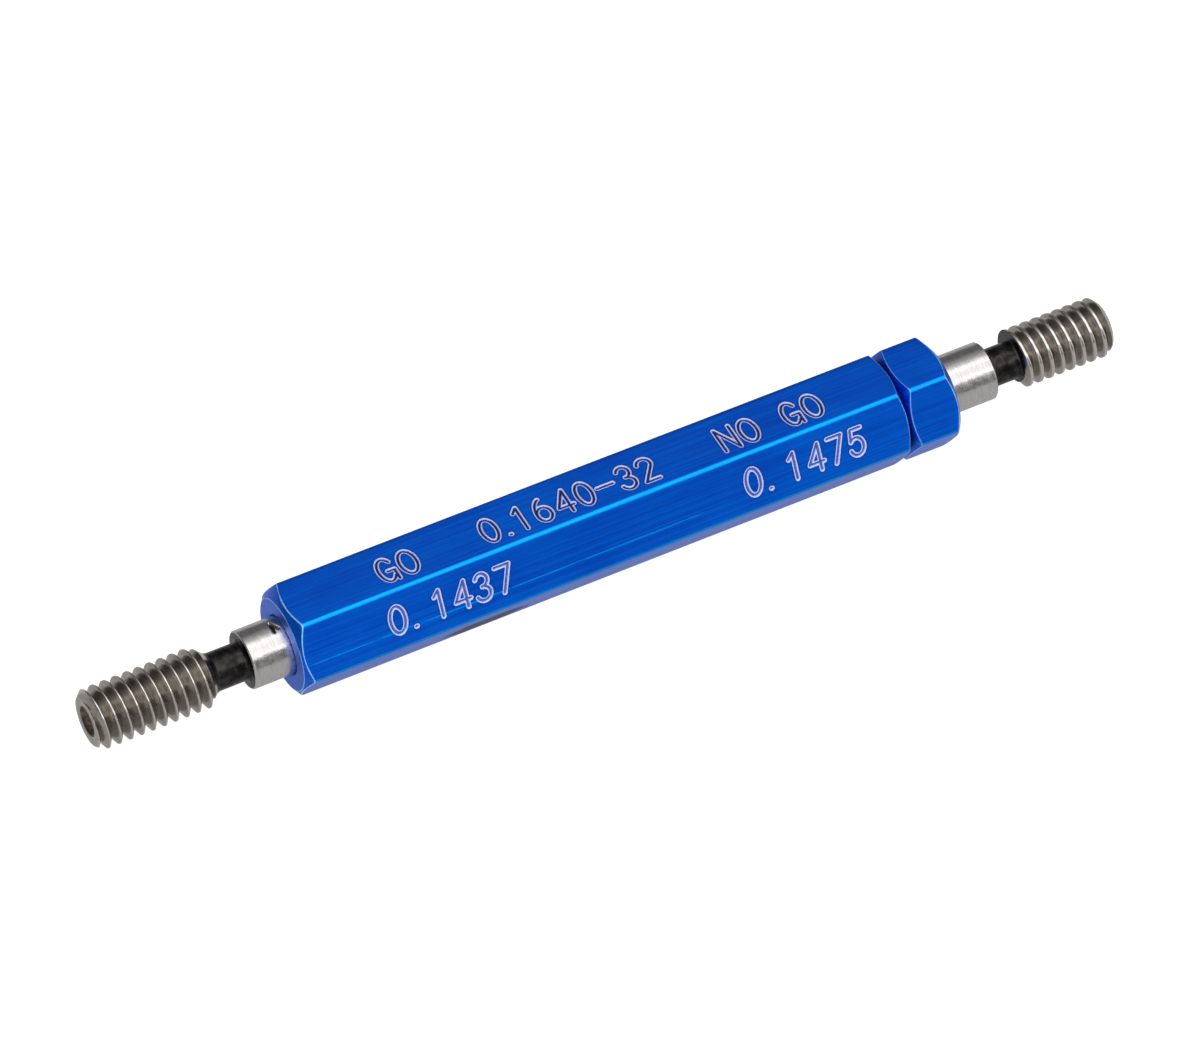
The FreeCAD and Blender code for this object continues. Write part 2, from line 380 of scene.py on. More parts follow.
def build_handle(materials):
    """Hexagonal bar: engraved, ringed, chamfered and bored, its edges marked for wear and
    painted highlight.
    """
    sheet = Sheet(worn=0.0, stroke=ENGRAVING_REACH, turned=0.0, rub_and_highlight=0.0, floor_of_groove=0.0)
    outline, flat_starts, half_flat = hexagon_outline()
    rub_and_highlight = rub_and_highlight_of_corners(len(outline))
    radius = np.hypot(outline[:, 0], outline[:, 1])
    directions = outline / radius[:, None]
    left, right = HANDLE_LOW[0], HANDLE_HIGH[0]
    around = len(outline)
    place = np.arange(around) * OUTLINE_STEP

    rows = []

    def row(points, **values):
        values.setdefault("rub_and_highlight", 0.0 if values.get("turned") else rub_and_highlight)
        rows.append(sheet.add(points, **values))

    # The edge values mark where the material paints edges nearly white: partly wear, partly
    # painted highlight.
    def rows_of(points, worn, turned=0.0):
        for index, row_points in enumerate(points):
            row(row_points, worn=worn[index], turned=turned)

    def body_at(x):
        return np.column_stack([np.broadcast_to(x, around), outline])

    def end_rows(x_end, inward, seed, face_centre, bore_centre, lean):
        """From the bore's bottom out to the start of the long flats."""
        from_face = outline - face_centre
        face_reach = np.hypot(from_face[:, 0], from_face[:, 1])
        face_ways = from_face / face_reach[:, None]
        for depth, bore_radius in (
            (BORE_DEPTH, BORE_RADIUS), (6.0, BORE_RADIUS), (2.0, BORE_RADIUS),
            (0.6, BORE_RADIUS), (BORE_CHAMFER, BORE_RADIUS),
            (0.02, BORE_RADIUS + BORE_CHAMFER - 0.02), (0.0, BORE_RADIUS + BORE_CHAMFER + 0.01),
        ):
            centre = bore_centre - RUN_OUT * lean * depth
            row(ring_points(x_end + inward * depth, bore_radius, directions, centre), turned=1.0)
        for share in (0.3, 0.6, 0.85):
            centre = bore_centre + (face_centre - bore_centre) * share
            reach = BORE_RADIUS + BORE_CHAMFER
            reach += (FACE_RADIUS - FACE_INSET - reach) * share
            row(ring_points(x_end, reach, face_ways, centre), turned=1.0)
        corner = ring_points(x_end, FACE_RADIUS, face_ways, face_centre)
        cone_end = body_at(x_end + inward * (face_reach - FACE_RADIUS) * END_SLOPE)
        run = cone_end - corner
        run /= np.linalg.norm(run, axis=1)[:, None]
        wear = 1 + 0.35 * soft_noise(place, seed, 0.5)[:, None]
        face_lip = FACE_LIP * wear
        inner = ring_points(x_end, FACE_RADIUS - FACE_INSET, face_ways, face_centre)
        rounded = bend_points(inner, corner, corner + run * face_lip, 3)
        rows_of(rounded, (0, 0.9, 0.9, 0), turned=0.6)
        length = np.linalg.norm(cone_end - corner, axis=1)[:, None]
        for share in (0.3, 0.65):
            row(corner + run * (face_lip + share * (length - face_lip - LIP)), turned=0.6)
        lip = LIP * (1 + 0.4 * soft_noise(place, seed + 1, 0.6))
        start = cone_end - run * lip[:, None]
        stop = cone_end + np.column_stack([inward * lip, np.zeros((around, 2))])
        rows_of(bend_points(start, cone_end, stop, 4), (0, 0.8, 1.0, 0.8, 0))
        return x_end + inward * ((face_reach - FACE_RADIUS) * END_SLOPE + lip)

    # Left end, from its bore out to the flats.
    go_centre = RUN_OUT * GO_RUN_OUT
    body_start = end_rows(left, 1, 11, go_centre, go_centre, GO_LEAN)

    # Long stretch of flats up to the ring.
    ring_x = right - RING_DISTANCE
    mouth_half = (radius - RING_ROOT_RADIUS) * RING_SLOPE
    lip = RING_LIP * (1 + 0.3 * soft_noise(place, 31, 0.7))
    body_stop = ring_x - mouth_half - lip
    zones = text_zones()
    stations = set(np.round(np.linspace(left + 1.4, ring_x - 1.1, 30), 3))
    for zone_list in zones.values():
        for low, high in zone_list:
            stations -= {s for s in stations if min(abs(s - low), abs(s - high)) < 0.35}
    for zone_list in zones.values():
        for low, high in zone_list:
            stations |= {round(low, 3), round(high, 3)}
    stations = sorted(stations)
    row(body_at(body_start + (stations[0] - body_start) * 0.4), worn=0.0)
    station_rows = {}
    for x in stations:
        station_rows[x] = len(rows)
        row(body_at(x))
    row(body_at(body_stop + (stations[-1] - body_stop) * 0.4))

    # Marker ring: lip, wall, root, wall, lip.
    lip_run = np.column_stack([lip, np.zeros((around, 2))])
    edge = body_at(ring_x - mouth_half)
    root = ring_points(ring_x, RING_ROOT_RADIUS, directions)
    wall = root - edge
    wall /= np.linalg.norm(wall, axis=1)[:, None]
    rows_of(bend_points(edge - lip_run, edge, edge + wall * lip[:, None], 4),
            (0, 0.5, 0.7, 0.5, 0))
    # The groove's floor rows carry the mark for painted shade on the floor.
    row(root - wall * RING_INSET, turned=1.0, floor_of_groove=1.0)
    row(root + np.column_stack([np.zeros(around), directions * 0.012]), turned=1.0,
        floor_of_groove=1.0)
    far_edge = body_at(ring_x + mouth_half)
    far_wall = far_edge - root
    far_wall /= np.linalg.norm(far_wall, axis=1)[:, None]
    row(root + far_wall * RING_INSET, turned=1.0, floor_of_groove=1.0)
    rows_of(bend_points(far_edge - far_wall * lip[:, None], far_edge, far_edge + lip_run, 4),
            (0, 0.5, 0.7, 0.5, 0))

    # Short stretch of flats, then the right end from the flats down into its bore.
    short_start = ring_x + mouth_half + lip
    rows_before_end = rows
    rows = []
    short_stop = end_rows(right, -1, 53, RUN_OUT * NO_GO_FACE_RUN_OUT, np.zeros(2), 0.0)
    end_part = rows[::-1]
    rows = rows_before_end
    for share in (0.3, 0.7):
        row(body_at(short_start + (short_stop - short_start) * share))
    rows.extend(end_part)

    numbers = np.array(rows)
    numbers = np.concatenate([numbers, numbers[:, :1]], axis=1)
    skip = np.zeros((numbers.shape[0] - 1, numbers.shape[1] - 1), bool)
    for side, zone_list in zones.items():
        first = flat_starts[side] + TEXT_ROWS[0]
        last = flat_starts[side] + TEXT_ROWS[1]
        for (low, high), segments in zip(zone_list, LETTERED[side]):
            a, b = station_rows[round(low, 3)], station_rows[round(high, 3)]
            skip[a:b, first:last] = True
            frame_numbers = numbers[a:b + 1, first:last + 1]
            add_text_patch(sheet, side, frame_numbers, stations, (a, b, station_rows),
                           half_flat, segments)
    sheet.grid(numbers, 0, skip)
    for ring, inward in ((rows[0], 1), (rows[-1], -1)):
        centre = sheet.add(np.concatenate(sheet.points)[ring].mean(axis=0), turned=1.0)
        order = ring if inward == 1 else ring[::-1]
        sheet.fan(int(centre), [int(n) for n in order[::-1]])
    return finish_piece(sheet, "handle_bar", materials, HANDLE_SHARP_ANGLE)


def text_zones():
    """Stretch along x that each line of text takes, by flat."""
    return {
        side: [
            (float(s[..., 0].min()) - TEXT_MARGIN, float(s[..., 0].max()) + TEXT_MARGIN)
            for s in lines
        ]
        for side, lines in LETTERED.items()
    }


def add_text_patch(sheet, side, frame_numbers, stations, span, half_flat, segments):
    """Fine grid with engraved strokes, joined to the points of the coarse cells round it."""
    a, b, station_rows = span
    xs = np.array([x for x in stations if a <= station_rows[x] <= b])
    across = FLAT_STEPS[TEXT_ROWS[0]:TEXT_ROWS[1] + 1] * half_flat
    inset = 0.1
    low_x, high_x = xs[0] + inset, xs[-1] - inset
    low_t, high_t = across[0] + inset, across[-1] - inset
    fine_x = np.linspace(low_x, high_x, int((high_x - low_x) / TEXT_GRID) + 2)
    fine_t = np.linspace(low_t, high_t, int((high_t - low_t) / TEXT_GRID) + 2)
    grid_x, grid_t = np.meshgrid(fine_x, fine_t, indexing="ij")
    flat_points = np.column_stack([grid_x.ravel(), grid_t.ravel()])
    distance = distance_to_strokes(flat_points, segments, ENGRAVING_REACH)
    height = engraving_height(distance).reshape(grid_x.shape)
    normal = math.radians(60 * side + 30)
    out = HALF_FLATS + height
    points = np.stack([
        grid_x,
        out * math.cos(normal) - grid_t * math.sin(normal),
        out * math.sin(normal) + grid_t * math.cos(normal),
    ], axis=-1)
    fine = sheet.add(points, stroke=distance.reshape(grid_x.shape))
    sheet.grid(fine)
    sheet.zip_rows(frame_numbers[:, 0][::-1], -xs[::-1], fine[:, 0][::-1], -fine_x[::-1])
    sheet.zip_rows(frame_numbers[:, -1], xs, fine[:, -1], fine_x)
    sheet.zip_rows(frame_numbers[0], across, fine[0], fine_t)
    sheet.zip_rows(frame_numbers[-1][::-1], -across[::-1], fine[-1][::-1], -fine_t[::-1])


def finish_piece(sheet, name, materials, sharp_above, merge=0.0):
    """Write a piece built about the gauge's axis and lift it to its place."""
    sheet.points = [part + (0, 0, AXIS_HEIGHT) for part in sheet.points]
    return sheet.object(name, materials, sharp_above, merge)


# ---------------------------------------------------------------- steel members

CHIP_DEPTH = 0.16
# The nick's two strokes, as (distance from the handle, distance round the collar).
CHIP_STROKES = np.array([[(0.67, 3.63), (0.67, 2.79)], [(0.67, 3.63), (0.32, 2.94)]])


def go_collar_chip(from_handle, angle):
    """Depth of the hooked nick on top of the GO collar, against the handle."""
    points = np.column_stack([np.full(len(angle), from_handle), angle * SHANK_RADIUS])
    distance = distance_to_strokes(points, CHIP_STROKES, 0.3)
    return CHIP_DEPTH * (1 - smoothstep(0.04, 0.11, distance))


class Member:
    """Sizes of one gauging member. Places along it are measured back from its tip."""

    chip = None

    def __init__(self, collar, neck, thread, major, pitch_dia, offset, bevelled):
        self.collar, self.neck, self.thread = collar, neck, thread
        self.crest = major / 2
        self.root = pitch_dia / 2 - PITCH / 4 / FLANK_SLOPE
        self.offset = offset
        self.bevelled = bevelled
        self.foot = -thread
        self.collar_face = -thread - neck
        self.handle_face = self.collar_face - collar
        self.inner_end = self.handle_face - SHANK_DEPTH


GO = Member(2.82, 2.3, 8.67, 4.166, 3.65, 0.246, True)
GO.chip = go_collar_chip
NO_GO = Member(3.55, 2.15, 6.65, 4.089, 3.7465, 0.764, False)

THREAD_SLICES = 180
WALL_STEPS = 5
LAND_SHARES = np.array([0.0, 0.16, 0.36, 0.64, 0.84, 1.0])
CREST_BREAK = 0.012
BEVEL_EDGE = 0.03
NECK_FILLET = 0.28
FOOT_FILLET = 0.12
FOOT_RADIUS = 1.47
COLLAR_FACE_RADIUS = 1.72
MEMBER_SHARP_ANGLE = 42
JOIN_DISTANCE = 0.0006
MATERIAL_THREAD, MATERIAL_COLLAR, MATERIAL_NECK, MATERIAL_HOLE = 0, 1, 2, 3


def envelope(member):
    """Polyline (x, radius) of the blank from the start of the thread to the tip."""
    crest, tip_radius = member.crest, member.crest - LEAD_CHAMFER
    if not member.bevelled:
        return np.array([(member.foot, crest), (-LEAD_CHAMFER, crest), (0, tip_radius)])
    blend = 0.6
    reach = blend * math.tan(math.radians(22.5))
    points = []
    for step in range(7):
        turn = math.radians(45 * step / 6)
        points.append((
            member.foot - reach + blend * math.sin(turn),
            NECK_RADIUS + blend * (1 - math.cos(turn)),
        ))
    points.append((member.foot + crest - NECK_RADIUS - BEVEL_EDGE, crest - BEVEL_EDGE))
    points.append((member.foot + crest - NECK_RADIUS + BEVEL_EDGE, crest))
    points.append((-LEAD_CHAMFER - BEVEL_EDGE, crest))
    points.append((-LEAD_CHAMFER + BEVEL_EDGE, crest - BEVEL_EDGE))
    points.append((0, tip_radius))
    return np.array(points)


def thread_slice(member, shape, angle, periods):
    """Cross-section of the thread at one angle: (x, radius, across) for each point.

    Every slice has the same number of points. Points that would lie past an end of the
    threaded stretch gather on that end, and are joined when the mesh is written.
    """
    start, stop = shape[0, 0], 0.0
    grooves = -member.offset + PITCH * angle / (2 * math.pi) + PITCH * periods

    def blank(x):
        """Radius of the blank before its grooves are cut."""
        return np.interp(x, shape[:, 0], shape[:, 1])

    def wall_top(groove, side):
        """Where a groove's wall comes out of the blank, on its side -1 or 1."""
        low = np.zeros_like(groove)
        high = np.full_like(groove, PITCH / 2)
        for _ in range(40):
            mid = (low + high) / 2
            under = member.root + mid / FLANK_SLOPE < blank(groove + side * mid)
            low, high = np.where(under, mid, low), np.where(under, high, mid)
        return groove + side * (low + high) / 2

    def thread_radius(x, groove):
        return member.root + np.abs(x - groove) / FLANK_SLOPE

    right, left = wall_top(grooves, 1), wall_top(grooves, -1)
    xs, rs, across = [], [], []
    shares = np.linspace(0, 1, WALL_STEPS + 1)
    corners = shape[1:-1, 0]
    for index in range(len(grooves) - 1):
        groove, following = grooves[index], grooves[index + 1]
        for share in shares[:-1]:
            x = groove + (right[index] - groove) * share
            xs.append(x)
            rs.append(min(thread_radius(x, groove), blank(x)))
            across.append(0.45 * share)
        land = right[index] + (left[index + 1] - right[index]) * LAND_SHARES
        for corner in corners:
            if land[0] < corner < land[-1]:
                nearest = 1 + int(np.argmin(np.abs(land[1:-1] - corner)))
                land[nearest] = corner
        land = np.sort(land)
        for position, x in enumerate(land):
            edge = CREST_BREAK if position in (0, len(land) - 1) else 0.0
            xs.append(x)
            rs.append(blank(x) - edge)
            across.append(0.45 + 0.2 * LAND_SHARES[position])
        for share in shares[1:-1]:
            x = left[index + 1] + (following - left[index + 1]) * share
            xs.append(x)
            rs.append(min(thread_radius(x, following), blank(x)))
            across.append(0.65 + 0.45 * share)
    xs, rs, across = np.array(xs), np.array(rs), np.array(across)

    def end_radius(x):
        nearest = grooves[np.argmin(np.abs(grooves - x))]
        return min(thread_radius(x, nearest), float(blank(x)))

    rs = np.where(xs <= start, end_radius(start), rs)
    rs = np.where(xs >= stop, end_radius(stop), rs)
    return np.clip(xs, start, stop), rs, across


def build_member(name, member, tip_x, facing, materials, run_out=0.0, lean=0.0):
    """Shank, collar, neck, thread and centre hole of one member.

    facing is 1 where the tip points to +X and -1 where it points to -X. The faces wind
    inward, so the normals point into the steel: a known fault.
    """
    sheet = Sheet(along=0.0, across=0.0, chipped=0.0)
    shape = envelope(member)
    count = int(math.ceil(-shape[0, 0] / PITCH)) + 3
    periods = np.arange(-count, 3)
    angles = np.linspace(0, 2 * math.pi, THREAD_SLICES + 1)
    slices = [thread_slice(member, shape, angle, periods) for angle in angles]
    per_period = len(slices[0][0]) // (len(periods) - 1)
    foot_end = shape[0, 0] + (0.45 if member.bevelled else 0.0)
    xs = np.array([s[0] for s in slices])
    rs = np.array([s[1] for s in slices])
    across = np.array([s[2] for s in slices])
    period_of = np.repeat(periods[:-1], per_period)
    along = angles[:, None] + 2 * math.pi * period_of[None, :]

    def place(x, r, angle):
        """Points about the axis, turned so that the tip faces the right way."""
        off = run_out + lean * (x - member.handle_face)
        return np.stack([
            tip_x + facing * x,
            facing * r * np.cos(angle) + off * RUN_OUT[0],
            r * np.sin(angle) + off * RUN_OUT[1],
        ], axis=-1)

    numbers = sheet.add(place(xs[:-1], rs[:-1], angles[:-1, None]),
                        along=along[:-1], across=across[:-1])
    # The last slice is the first one a period further on.
    wrapped = np.concatenate([numbers[0, per_period:], numbers[0, -per_period:]])
    table = np.concatenate([numbers, wrapped[None]])
    middles = (xs[:-1, :-1] + xs[1:, 1:]) / 2
    sheet.grid(table, MATERIAL_THREAD, skip=middles < foot_end)
    sheet.grid(table, MATERIAL_NECK, skip=middles >= foot_end)

    def lathe(profile, material, first=None, last=None, chip=None):
        """Turn (x, radius) points about the axis, between two existing rings if given."""
        rings = [] if first is None else [first]
        for x, r in profile:
            depth = np.zeros(THREAD_SLICES)
            if chip is not None:
                depth = chip(x - member.handle_face, angles[:-1])
            ring = sheet.add(place(np.full(THREAD_SLICES, x), r - depth, angles[:-1]),
                             along=angles[:-1], across=r, chipped=depth / CHIP_DEPTH)
            rings.append(ring)
        if last is not None:
            rings.append(last)
        table = np.array(rings).T
        table = np.concatenate([table, table[:1]])
        sheet.grid(table, material)
        return rings

    # Tip: end face, centre hole and its pilot.
    tip_ring = numbers[:, -1]
    narrowing = CENTRE_RADIUS - PILOT_RADIUS
    cone = narrowing / FLANK_SLOPE
    tip = lathe([(0, CENTRE_RADIUS + 0.32), (0, CENTRE_RADIUS + 0.03),
                 (-0.02, CENTRE_RADIUS - 0.005)], MATERIAL_THREAD, first=tip_ring)
    hole = lathe([(-0.3 * cone, CENTRE_RADIUS - 0.3 * narrowing),
                  (-0.7 * cone, CENTRE_RADIUS - 0.7 * narrowing),
                  (-cone, PILOT_RADIUS), (-PILOT_DEPTH, PILOT_RADIUS),
                  (-PILOT_DEPTH, PILOT_RADIUS * 0.5)], MATERIAL_HOLE, first=tip[-1])
    bottom = sheet.add(place(np.array(-PILOT_DEPTH), 0.0, 0.0))
    for index in range(THREAD_SLICES):
        sheet.face((hole[-1][index], bottom, hole[-1][(index + 1) % THREAD_SLICES]),
                   MATERIAL_HOLE)

    # Back of the thread, neck, collar and shank.
    face = member.collar_face
    neck_profile = [
        (face + NECK_FILLET * (1 - math.sin(a)), NECK_RADIUS + NECK_FILLET * (1 - math.cos(a)))
        for a in np.radians((90, 70, 50, 30, 15, 0))
    ]
    neck_end = shape[0, 0] if member.bevelled else member.foot
    stations = np.linspace(face + 0.42, neck_end - (0.02 if member.bevelled else 0.2), 14)
    neck_profile += [(x, NECK_RADIUS) for x in stations]
    if not member.bevelled:
        for a in np.radians((0, 30, 60, 90)):
            neck_profile.append((neck_end - FOOT_FILLET + FOOT_FILLET * math.sin(a),
                                 NECK_RADIUS + FOOT_FILLET * (1 - math.cos(a))))
        neck_profile.append((neck_end, FOOT_RADIUS))
    collar_profile = [
        (member.inner_end, SHANK_RADIUS), (member.handle_face - 1.0, SHANK_RADIUS),
    ]
    collar_profile += [(x, SHANK_RADIUS) for x in np.linspace(
        member.handle_face, face - 0.11, 40)]
    collar_profile += [(face - 0.09, SHANK_RADIUS - 0.002), (face - 0.05, SHANK_RADIUS - 0.03),
                       (face - 0.012, SHANK_RADIUS - 0.075), (face, SHANK_RADIUS - 0.1)]
    collar = lathe(collar_profile, MATERIAL_COLLAR, chip=member.chip)
    neck_profile.insert(0, (face, COLLAR_FACE_RADIUS))
    lathe(neck_profile, MATERIAL_NECK, first=collar[-1], last=numbers[:, 0])
    inner = sheet.add(place(np.array(member.inner_end), 0.0, 0.0))
    for index in range(THREAD_SLICES):
        sheet.face((collar[0][(index + 1) % THREAD_SLICES], inner, collar[0][index]),
                   MATERIAL_COLLAR)
    return finish_piece(sheet, name, materials, MEMBER_SHARP_ANGLE, merge=JOIN_DISTANCE)


# ---------------------------------------------------------------- materials

# A scratch and a dark patch on the handle, in millimetres.
SCRATCH_HEIGHT = 4.47
SCRATCH_START = (-23.0, -22.0)
SCRATCH_END = (4.5, 6.5)
DARK_PATCH_MIDDLE, DARK_PATCH_HALF_LENGTH = -9.9, 3.75
DARK_PATCH_HEIGHT, DARK_PATCH_HALF_HEIGHT = 1.25, 0.95


class Nodes:
    """Small helper that adds shader nodes and links them."""

    def __init__(self, name):
        self.material = bpy.data.materials.new(name)
        self.material.use_nodes = True
        self.tree = self.material.node_tree
        self.shader = self.tree.nodes["Principled BSDF"]

    def add(self, kind, **settings):
        node = self.tree.nodes.new(kind)
        for key, value in settings.items():
            setattr(node, key, value)
        return node

    def link(self, source, target):
        self.tree.links.new(source, target)

    def put(self, socket, value):
        """Link a socket to another, or set it to a constant."""
        if isinstance(value, bpy.types.NodeSocket):
            self.link(value, socket)
        else:
            socket.default_value = value

    def set(self, **values):
        """Set or link the shader's own sockets, with _ for spaces."""
        for key, value in values.items():
            self.put(self.shader.inputs[key.replace("_", " ")], value)

    def attribute(self, name):
        return self.add("ShaderNodeAttribute", attribute_name=name).outputs["Fac"]

    def position(self, scale):
        """Object coordinates in millimetres, times a scale for each axis."""
        coordinates = self.add("ShaderNodeTexCoord").outputs["Object"]
        mapping = self.add("ShaderNodeMapping")
        mapping.inputs["Scale"].default_value = [s / MM for s in scale]
        self.link(coordinates, mapping.inputs["Vector"])
        return mapping.outputs["Vector"]

    def axis(self, name):
        """One object coordinate in millimetres."""
        split = self.add("ShaderNodeSeparateXYZ")
        self.link(self.position((1.0, 1.0, 1.0)), split.inputs[0])
        return split.outputs[name]

    def noise(self, vector, scale=1.0, detail=3.0, roughness=0.55, distortion=0.0):
        node = self.add("ShaderNodeTexNoise")
        self.link(vector, node.inputs["Vector"])
        node.inputs["Scale"].default_value = scale
        node.inputs["Detail"].default_value = detail
        node.inputs["Roughness"].default_value = roughness
        node.inputs["Distortion"].default_value = distortion
        return node.outputs["Fac"]

    def combine(self, x, y, z=0.0):
        node = self.add("ShaderNodeCombineXYZ")
        for socket, value in zip(node.inputs, (x, y, z)):
            self.put(socket, value)
        return node.outputs["Vector"]

    def math(self, operation, a, b=0.0, c=0.0, clamp=False):
        node = self.add("ShaderNodeMath", operation=operation, use_clamp=clamp)
        for socket, value in zip(node.inputs, (a, b, c)):
            self.put(socket, value)
        return node.outputs["Value"]

    def band(self, value, low, high, to_low=0.0, to_high=1.0):
        """Smooth step of a value from one range to another."""
        node = self.add("ShaderNodeMapRange", interpolation_type="SMOOTHSTEP")
        self.put(node.inputs["Value"], value)
        for key, number in (("From Min", low), ("From Max", high),
                            ("To Min", to_low), ("To Max", to_high)):
            self.put(node.inputs[key], number)
        return node.outputs["Result"]

    def mix(self, factor, a, b):
        node = self.add("ShaderNodeMix", data_type="RGBA")
        self.put(node.inputs[0], factor)
        for socket, value in ((node.inputs[6], a), (node.inputs[7], b)):
            self.put(socket, (*value, 1.0) if isinstance(value, tuple) else value)
        return node.outputs[2]

    def bump(self, height, distance, strength=1.0, normal=None):
        node = self.add("ShaderNodeBump")
        node.inputs["Strength"].default_value = strength
        node.inputs["Distance"].default_value = distance * MM
        self.put(node.inputs["Height"], height)
        if normal is not None:
            self.link(normal, node.inputs["Normal"])
        return node.outputs["Normal"]


def anodised_blue():
    """Satin blue anodising over drawn bar. Its edges are paler, partly wear and partly painted
    highlight; the engraving has a pale bare burr, painted shade in the cut and a painted shade
    line outside, and the ring's groove has painted shade on its floor.
    """
    n = Nodes("anodised_blue")
    along, side, height = (n.axis(name) for name in "XYZ")
    drawn = n.noise(n.position((0.05, 6.0, 6.0)), detail=4.0, roughness=0.65)
    fine = n.noise(n.position((0.35, 16.0, 16.0)), detail=2.0)
    peel = n.noise(n.position((3.2, 3.2, 3.2)), detail=3.0)
    cloud = n.noise(n.position((0.12, 0.25, 0.25)), detail=3.0)
    speck = n.noise(n.position((9.0, 9.0, 9.0)), detail=2.0)
    tone = n.math("ADD", n.math("MULTIPLY", drawn, 0.6), n.math("MULTIPLY", cloud, 0.4))
    colour = n.mix(n.band(tone, 0.36, 0.64), (0.0, 0.105, 0.78), (0.0, 0.185, 1.0))

    # Engraving: painted shade in the cut, darker on the top flat than on the front, pale bare
    # metal on its burr, and a thin painted shade line outside the burr.
    stroke = n.attribute("stroke")
    shifted = n.math("ADD", stroke, n.math("MULTIPLY", n.math("SUBTRACT", speck, 0.5), 0.05))
    on_front = n.band(height, 6.0, 6.4, 1.0, 0.0)
    cut_shade_colour = n.mix(on_front, (0.012, 0.05, 0.24), (0.09, 0.19, 0.62))
    core = n.band(shifted, 0.055, 0.10, 1.0, 0.0)
    rim = n.math("MULTIPLY", n.band(shifted, 0.06, 0.105),
                 n.band(shifted, 0.15, 0.195, 1.0, 0.0))
    burr_shade_line = n.math("MULTIPLY", n.band(shifted, 0.17, 0.20),
                  n.band(shifted, 0.24, 0.30, 1.0, 0.0))
    colour = n.mix(n.math("MULTIPLY", burr_shade_line, 0.55), colour, (0.0, 0.06, 0.50))
    colour = n.mix(core, colour, cut_shade_colour)
    pale = n.mix(speck, (0.50, 0.50, 0.84), (0.78, 0.78, 1.0))
    colour = n.mix(rim, colour, pale)

    # Corners painted a lighter blue, strongest on the lit ridge, and edges of the turned cuts
    # painted nearly white: both partly wear and partly painted highlight.
    streak = n.noise(n.position((0.5, 9.0, 9.0)), detail=3.0, roughness=0.6)
    rub_and_highlight = n.math("MULTIPLY", n.attribute("rub_and_highlight"), n.band(streak, 0.3, 0.6, 0.7, 1.0))
    colour = n.mix(rub_and_highlight, colour, (0.0, 0.37, 1.0))
    worn = n.math("MULTIPLY", n.attribute("worn"), n.band(speck, 0.25, 0.6, 0.55, 1.0))
    colour = n.mix(worn, colour, (0.36, 0.74, 1.0))
    # Floor of the ring's groove painted dark navy: painted shade.
    colour = n.mix(n.attribute("floor_of_groove"), colour, (0.0, 0.03, 0.22))

    # One long scratch and a few pits on the front flat.
    front = n.band(side, -2.4, -2.2, 1.0, 0.0)
    line = n.math("ABSOLUTE", n.math("SUBTRACT", height, SCRATCH_HEIGHT))
    scratch = n.math("MULTIPLY", n.band(line, 0.02, 0.05, 1.0, 0.0), front)
    reach = n.math("MULTIPLY", n.band(along, *SCRATCH_START),
                   n.band(along, *SCRATCH_END, 1.0, 0.0))
    scratch = n.math("MULTIPLY", scratch, n.math("MULTIPLY", reach, n.band(streak, 0.3, 0.5)))
    colour = n.mix(n.math("MULTIPLY", scratch, 0.7), colour, (0.0, 0.42, 1.0))
    pits = n.add("ShaderNodeTexVoronoi")
    n.link(n.position((0.55, 0.8, 0.8)), pits.inputs["Vector"])
    pit = n.band(pits.outputs["Distance"], 0.045, 0.075, 1.0, 0.0)
    colour = n.mix(n.math("MULTIPLY", pit, 0.75), colour, (0.0, 0.03, 0.25))

    # Dark patch, streaked and lens-shaped, low on the front flat.
    from_middle = n.math("ABSOLUTE", n.math("SUBTRACT", along, DARK_PATCH_MIDDLE))
    half_height = n.band(from_middle, 0.3 * DARK_PATCH_HALF_LENGTH, DARK_PATCH_HALF_LENGTH,
                         DARK_PATCH_HALF_HEIGHT, 0.0)
    ragged = n.math("ADD", n.math("MULTIPLY", n.math("SUBTRACT", streak, 0.5), 0.9), half_height)
    level = n.math("ABSOLUTE", n.math("SUBTRACT", height, DARK_PATCH_HEIGHT))
    inside = n.math("SUBTRACT", ragged, level)
    dark_patch = n.math("MULTIPLY", n.band(inside, 0.0, 0.15), n.band(side, -1.9, -1.7, 1.0, 0.0))
    dark_patch = n.math("MULTIPLY", dark_patch, n.band(half_height, 0.02, 0.2))
    colour = n.mix(dark_patch, colour, n.mix(n.band(streak, 0.5, 0.62), (0.0, 0.004, 0.015),
                                        (0.0, 0.10, 0.45)))

    roughness = n.band(n.math("ADD", fine, n.math("MULTIPLY", rim, 0.5)), 0.2, 1.2, 0.38, 0.56)
    bare = n.math("MAXIMUM", worn, rim)
    n.set(Base_Color=colour, Roughness=roughness)
    n.set(Metallic=n.math("SUBTRACT", 1.0, n.math("MULTIPLY", bare, 0.75)))
    n.set(Coat_Weight=n.math("MULTIPLY", n.math("SUBTRACT", 1.0, dark_patch), 0.5))
    n.set(Coat_Roughness=0.28, Coat_IOR=1.22)
    normal = n.bump(drawn, 0.012)
    normal = n.bump(fine, 0.0035, normal=normal)
    normal = n.bump(peel, 0.007, normal=normal)
    normal = n.bump(n.math("ADD", scratch, pit), -0.01, normal=normal)
    n.set(Normal=normal)
    return n.material


def ground_steel():
    """Cylindrically ground steel: fine marks round the collar."""
    n = Nodes("ground_steel")
    marks = n.noise(n.position((26.0, 0.9, 0.9)), detail=3.0, roughness=0.6)
    chatter = n.noise(n.position((2.6, 3.6, 3.6)), detail=3.0)
    tone = n.band(marks, 0.3, 0.7)
    colour = n.mix(tone, (0.50, 0.485, 0.475), (0.66, 0.645, 0.63))
    # Nick painted nearly black: painted shade in it.
    colour = n.mix(n.attribute("chipped"), colour, (0.05, 0.035, 0.02))
    n.set(Base_Color=colour, Metallic=1.0)
    n.set(Roughness=n.band(chatter, 0.3, 0.7, 0.20, 0.30))
    normal = n.bump(marks, 0.0022)
    n.set(Normal=n.bump(chatter, 0.010, normal=normal))
    return n.material


